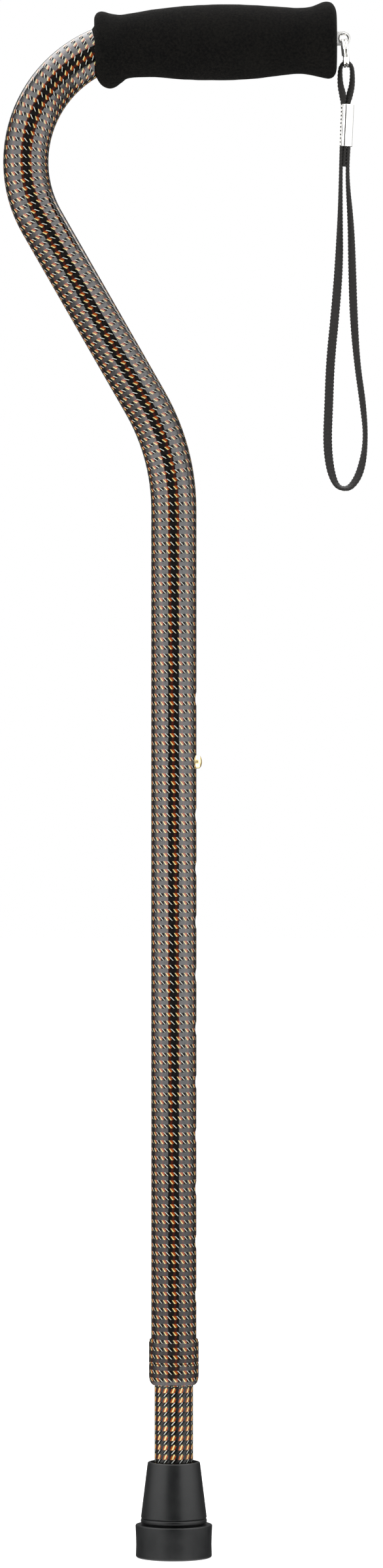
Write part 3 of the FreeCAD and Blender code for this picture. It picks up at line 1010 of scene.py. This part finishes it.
# rubber tip: tapered cup with a groove over a round foot, and rings moulded in its sole
tip = {
    "bore": 0.00942,
    "floor": 0.0075,
    # the mouth: out from the bore and down from the top
    "mouth": [(0.0, 0.0050), (0.0014, 0.0022)],
    "coneTop": 0.0128,
    "rimFlat": 0.0014,
    "rimRound": 0.0009,
    "coneLow": 0.0160,
    "coneLowHeight": 0.0196,
    "coneLowRound": 0.0003,
    "coneStart": (0.00005, 0.0004),
    # the groove between the cone and the foot
    "ledge": 0.0157,
    "ledgeIn": (0.0002, 0.0004),
    "beadHeight": 0.0178,
    "beadRound": (0.0003, 0.0010),
    "beadOut": 0.0001,
    "valleyRound": (0.0007, 0.0004),
    # the foot, a little narrower at its waist
    "base": 0.0187,
    "baseHeight": 0.0160,
    "baseRound": 0.0006,
    "baseFlat": (0.0010, 0.00005),
    "waist": 0.01835,
    "waistFrom": (0.0001, 0.0100),
    "waistTo": 0.0062,
    "soleInset": 0.0013,
    "soleRound": (0.0011, 0.0010),
    "treadDepth": 0.0016,
    "treadDraft": 0.0002,
    "hub": 0.0032,
    "ring": 0.0022,
    "groove": 0.0020,
    "rings": 3,
    "around": 120,
    "sharp": 35,
}


def rubberMaterial():
    # moulded rubber: dull black with a soft wide shine and a little bloom
    material, tree, shader = startMaterial("mouldedBlackRubber", Specular_IOR_Level=0.2)
    place = objectPlace(tree)
    bloom = addNode(tree, "TexNoise", {"Vector": place, "Scale": grainScale(7.143), "Detail": 5.0})
    tone = addNode(tree, "ValToRGB", {0: bloom.outputs["Fac"]})
    tone.color_ramp.elements[0].position = 0.35
    tone.color_ramp.elements[0].color = linearColour("#0c0d0e")
    tone.color_ramp.elements[1].position = 0.8
    tone.color_ramp.elements[1].color = linearColour("#171818")
    tree.links.new(tone.outputs[0], shader.inputs["Base Color"])
    grain = addNode(tree, "TexNoise", {"Vector": place, "Scale": grainScale(0.4545), "Detail": 3.0})
    addBump(tree, shader, grain.outputs["Fac"], 0.25, 0.0001)
    spread = addNode(tree, "MapRange", {"Value": bloom.outputs["Fac"], "To Min": 0.3, "To Max": 0.42})
    tree.links.new(spread.outputs[0], shader.inputs["Roughness"])
    return material


def soleRings(z):
    # the tread from its outer ring inward
    treads = []
    draft = tip["treadDraft"]
    for n in reversed(range(tip["rings"])):
        inner = tip["hub"] + n * (tip["ring"] + tip["groove"])
        outer = inner + tip["groove"]
        top = z + tip["treadDepth"]
        treads += [(outer, z), (outer - draft, top), (inner + draft, top), (inner, z)]
    return treads


def makeTip():
    low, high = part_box("rubber_tip")
    z, top = low.z, high.z
    bore, ledge, base = tip["bore"], tip["ledge"], tip["base"]
    rim, corner, foot = tip["rimRound"], tip["coneLowRound"], tip["baseRound"]
    coneLow, coneZ = tip["coneLow"], z + tip["coneLowHeight"]
    baseZ = z + tip["baseHeight"]
    valley = tip["valleyRound"]
    profile = [(bore + out, top - drop) for out, drop in tip["mouth"]]
    profile += [(tip["coneTop"] - tip["rimFlat"], top)]
    profile += quarter((tip["coneTop"] - rim, top - rim), (rim, rim), 90, 8, 6)
    profile += [(coneLow - tip["coneStart"][0], coneZ + tip["coneStart"][1])]
    profile += quarter((coneLow - corner, coneZ), (corner, corner), 20, -90, 4)
    profile += [(ledge - tip["ledgeIn"][0], coneZ - tip["ledgeIn"][1])]
    profile += quarter((ledge + tip["beadOut"], z + tip["beadHeight"]), tip["beadRound"], 90, -80, 6)
    profile += quarter((ledge - tip["ledgeIn"][0], baseZ + valley[1]), valley, 120, 255, 6)
    profile += [(base - tip["baseFlat"][0], baseZ + tip["baseFlat"][1])]
    profile += quarter((base - foot, baseZ - foot), (foot, foot), 80, 0, 5)
    profile += [(tip["waist"] + tip["waistFrom"][0], z + tip["waistFrom"][1])]
    profile += [(tip["waist"], z + tip["waistTo"])]
    profile += quarter((base - tip["soleInset"], z + tip["soleRound"][1]), tip["soleRound"], 0, -90, 6)
    profile += soleRings(z)
    profile += [(axisRadius, z), (axisRadius, z + tip["floor"]), (bore, z + tip["floor"])]
    around, sharp = tip["around"], tip["sharp"]
    lathe("rubberTip", profile[::-1], rubberMaterial(), "lower", "rubber", "rubber_tip", around, sharp)


makeTip()
print("rubber tip moulded")


def brassMaterial():
    # brass-plated steel, tumbled: a pale warm metal whose shine is a little blurred
    material, tree, shader = startMaterial(
        "brassPlatedSteel", Base_Color=linearColour("#ecd6a0"), Metallic=1.0, Roughness=0.35
    )
    blur = {"Vector": objectPlace(tree), "Scale": grainScale(0.8333), "Detail": 2.0}
    haze = addNode(tree, "TexNoise", blur)
    spread = addNode(tree, "MapRange", {"Value": haze.outputs["Fac"], "To Min": 0.28, "To Max": 0.42})
    tree.links.new(spread.outputs[0], shader.inputs["Roughness"])
    return material


# the sprung button: a pin with a flange behind the wall, a riveted tail and a domed head
button = {
    "radius": 0.00325,
    "dome": 0.0019,
    "domeEnd": 89.5,
    "flange": 0.0043,
    "flangeThick": 0.0008,
    "flangeFrom": 0.00114,
    "tail": 0.0013,
    "head": 0.0021,
    "headThick": 0.0005,
    "headRound": 0.0002,
    "around": 48,
    "sharp": 50,
}


def makeButton():
    low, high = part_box("snap_button")
    height = (low.z + high.z) / 2
    head, tail, soft = button["head"], button["tail"], button["headRound"]
    behind = low.x + button["headThick"]
    flangeIn = low.x + button["flangeFrom"]
    flangeOut = flangeIn + button["flangeThick"]
    dome = (button["radius"], button["dome"])
    profile = [(axisRadius, low.x)]
    profile += quarter((head - soft, low.x + soft), (soft, soft), -90, 0, 3)
    profile += [(head, behind), (tail, behind), (tail, flangeIn)]
    profile += [(button["flange"], flangeIn), (button["flange"], flangeOut)]
    profile += [(button["radius"], flangeOut)]
    profile += quarter((0.0, high.x - button["dome"]), dome, 0, button["domeEnd"], 14)
    sides = {"around": button["around"], "sharp": button["sharp"], "alongX": height}
    lathe("domedButton", profile, brassMaterial(), "button", "brass_plate", "snap_button", **sides)


makeButton()
print("button pressed")


def nylonMaterial():
    # natural nylon, moulded: milky off-white with a waxy shine
    material, tree, shader = startMaterial(
        "naturalMouldedNylon", Roughness=0.4, IOR=1.53, Subsurface_Weight=0.15, Subsurface_Scale=0.002
    )
    clouds = {"Vector": objectPlace(tree), "Scale": grainScale(5.556), "Detail": 3.0}
    mottle = addNode(tree, "TexNoise", clouds)
    milky = blendColours(tree, mottle.outputs["Fac"], linearColour("#dcd8cb"), linearColour("#f0eee6"))
    tree.links.new(milky, shader.inputs["Base Color"])
    return material


def plasticMaterial():
    # moulded ABS in black: satin, with the fine grain of a sparked mould.
    # the grain is 0.1 mm, drawn at 0.6 mm so that it shows
    material, tree, shader = startMaterial("blackMouldedPlastic", Roughness=0.45, IOR=1.5)
    sparks = {"Vector": objectPlace(tree), "Scale": grainScale(0.625), "Detail": 3.0}
    grain = addNode(tree, "TexNoise", sparks)
    dark = blendColours(tree, grain.outputs["Fac"], linearColour("#101010"), linearColour("#1b1b1b"))
    tree.links.new(dark, shader.inputs["Base Color"])
    addBump(tree, shader, grain.outputs["Fac"], 0.3, 0.00006)
    return material


def springMaterial():
    # rolled spring steel: blue-grey with lines along the strip
    material, tree, shader = startMaterial(
        "rolledSpringSteel", Base_Color=linearColour("#8f9296"), Metallic=1.0, Roughness=0.28
    )
    lineSize = (grainScale(3.333), grainScale(0.25), grainScale(16.67))
    grain = addNode(tree, "Mapping", {"Vector": objectPlace(tree), "Scale": lineSize})
    lines = addNode(tree, "TexNoise", {"Vector": grain.outputs[0], "Scale": 1.0, "Detail": 2.0})
    addBump(tree, shader, lines.outputs["Fac"], 0.25, 0.00004)
    spread = addNode(tree, "MapRange", {"Value": lines.outputs["Fac"], "To Min": 0.2, "To Max": 0.4})
    tree.links.new(spread.outputs[0], shader.inputs["Roughness"])
    return material


def finishNodes():
    nylon = nylonMaterial()
    spring = springMaterial()
    finishes = {
        "lower_shaft": lowerFilm,
        "handle_plug": plasticMaterial(),
        "strap_lug": satinNickel,
        "grip_ring": nylon,
        "tube_bushing": nylon,
        "snap_spring": spring,
        "tip_washer": spring,
    }
    for name, material in finishes.items():
        node = frame["nodes"][name]
        for place in node.material_slots:
            place.material = material
    softenEdges(frame["nodes"]["strap_lug"], eyeRim["lugEdge"])


# flat rims pressed round the lug's eye, one each side: across and outward from the eye's centre
eyeRim = {
    "centre": (0.0825, 0.0014),
    "turns": 64,
    "sharp": 35,
    "lugEdge": 0.00035,
    "section": [
        (0.00198, 0.0008),
        (0.00198, 0.00118),
        (0.00206, 0.00126),
        (0.00256, 0.00126),
        (0.00264, 0.00118),
        (0.00264, 0.0008),
    ],
}


def makeEyeRims():
    turns, section = eyeRim["turns"], eyeRim["section"]
    x, z = eyeRim["centre"]
    points, faces = [], []
    for side in (-1, 1):
        start = len(points)
        for n in range(turns):
            turn = side * 2 * math.pi * n / turns
            for reach, lift in section:
                points.append((x + reach * math.cos(turn), side * lift, z + reach * math.sin(turn)))
        faces += [tuple(start + i for i in face) for face in joinRings(turns, len(section), True)]
    meshPiece("lugEyeRims", points, faces, chrome, "upper", eyeRim["sharp"])


makeEyeRims()
finishNodes()
print("carried-over parts finished")


# studio: soft walls at the sides, above and below are reflected as bands along the tube, and the
# dark room between them as its dark middle stripe
studio = {
    "wallRadius": 1.5,
    "angleStep": 4,
    "lengthStep": 0.2,
    # brightness over the directions it fills, in degrees from the camera's
    "leftWall": [(28.5, 4.4), (60, 4.7), (80, 4.0), (100, 1.8), (124, 0.0)],
    "rightWall": [(26.5, 4.6), (55, 4.7), (76, 4.2), (100, 2.0), (128, 0.0)],
    "ceiling": [(29, 3.6), (60, 5.0), (90, 7.0), (120, 7.0), (150, 3.0), (160, 0.0)],
    "lowWall": [(42, 3.6), (60, 4.2), (90, 3.4), (120, 1.0), (135, 0.0)],
    # share of it over the height of the side walls, and along the ceiling and the low wall
    "heights": [(-1.7, 0.30), (-0.80, 0.35), (-0.66, 0.55), (-0.52, 1.0), (1.5, 1.0)],
    "lengths": [(-1.6, 1.0), (1.6, 1.0)],
    "ambient": 0.15,
    "aim": (0, 0, -0.3),
    "floorHalf": 12.0,
    # soft fills for the dull surfaces: place, size and brightness
    "fills": [
        ("overhead", (-0.3, -0.4, 2.2), 1.8, 4.5),
        ("frontFill", (-1.4, -3.4, 0.5), 3.0, 1.7),
        ("backFill", (1.2, 3.4, 0.5), 3.0, 1.0),
    ],
}


def stepped(graph, step):
    # the same straight-line graph with more places on it
    values = []
    for (start, low), (end, high) in zip(graph, graph[1:]):
        count = max(1, math.ceil((end - start) / step))
        for n in range(count):
            values.append((start + (end - start) * n / count, low + (high - low) * n / count))
    return values + [graph[-1]]


def softWall(name, side, shares):
    # a curved sheet of light, upright or lying level, seen by shiny surfaces only
    columns = stepped(studio[name], studio["angleStep"])
    rows = stepped(studio[shares], studio["lengthStep"])
    radius = studio["wallRadius"]
    points, faces, glows = [], [], []
    for angle, brightness in columns:
        turn = math.radians(angle)
        out, y = side * math.sin(turn) * radius, -math.cos(turn) * radius
        for place, share in rows:
            points.append((out, y, place) if shares == "heights" else (place, y, out))
            glows.append(brightness * share)
    for c in range(len(columns) - 1):
        for r in range(len(rows) - 1):
            a = c * len(rows) + r
            faces.append((a, a + len(rows), a + len(rows) + 1, a + 1))
    mesh = bpy.data.meshes.new(name)
    mesh.from_pydata(points, [], faces)
    mesh.attributes.new("glow", "FLOAT", "POINT").data.foreach_set("value", glows)
    material = bpy.data.materials.new(name)
    material.use_nodes = True
    tree = material.node_tree
    tree.nodes.clear()
    glow = addNode(tree, "Attribute", attribute_name="glow").outputs["Fac"]
    light = addNode(tree, "Emission", {"Color": (1, 1, 1, 1), "Strength": glow})
    tree.links.new(light.outputs[0], addNode(tree, "OutputMaterial").inputs[0])
    mesh.materials.append(material)
    wall = bpy.data.objects.new(name, mesh)
    bpy.context.scene.collection.objects.link(wall)
    wall.visible_camera = False
    wall.visible_diffuse = False
    wall.visible_shadow = False


def makeStudio():
    softWall("leftWall", -1, "heights")
    softWall("rightWall", 1, "heights")
    softWall("ceiling", 1, "lengths")
    softWall("lowWall", -1, "lengths")
    for name, place, size, brightness in studio["fills"]:
        data = bpy.data.lights.new(name, "AREA")
        data.size = size
        data.energy = brightness * math.pi * size**2
        fill = bpy.data.objects.new(name, data)
        fill.location = place
        fill.rotation_euler = (fill.location - Vector(studio["aim"])).to_track_quat("Z", "Y").to_euler()
        fill.visible_camera = False
        fill.visible_glossy = False
        bpy.context.scene.collection.objects.link(fill)
    world = bpy.data.worlds.new("room")
    bpy.context.scene.world = world
    world.use_nodes = True
    tree = world.node_tree
    tree.nodes.clear()
    seen = addNode(tree, "LightPath").outputs["Is Camera Ray"]
    level = addNode(tree, "MapRange", {"Value": seen, "To Min": studio["ambient"], "To Max": 1.0})
    room = addNode(tree, "Background", {"Color": (1, 1, 1, 1), "Strength": level.outputs[0]})
    out = addNode(tree, "OutputWorld")
    tree.links.new(room.outputs[0], out.inputs[0])
    bpy.context.scene.view_settings.view_transform = "Standard"


def makeFloor():
    # matte emulsion paint, rolled: even white, with clouds too faint to notice
    material, tree, shader = startMaterial("matteWhitePaint", Roughness=0.9, Emission_Strength=0.9)
    shader.inputs["Emission Color"].default_value = linearColour("#ffffff")
    cloud = addNode(tree, "TexNoise", {"Vector": objectPlace(tree), "Scale": grainScale(333.3)})
    pale = blendColours(tree, cloud.outputs["Fac"], linearColour("#f2f2f1"), linearColour("#f7f7f6"))
    tree.links.new(pale, shader.inputs["Base Color"])
    half = studio["floorHalf"]
    mesh = bpy.data.meshes.new("floor")
    corners = [(-half, -half, floorZ), (half, -half, floorZ), (half, half, floorZ), (-half, half, floorZ)]
    mesh.from_pydata(corners, [], [(0, 1, 2, 3)])
    mesh.materials.append(material)
    floor = bpy.data.objects.new("floor", mesh)
    bpy.context.scene.collection.objects.link(floor)
    floor.visible_glossy = False


makeStudio()
makeFloor()
print("studio lit")
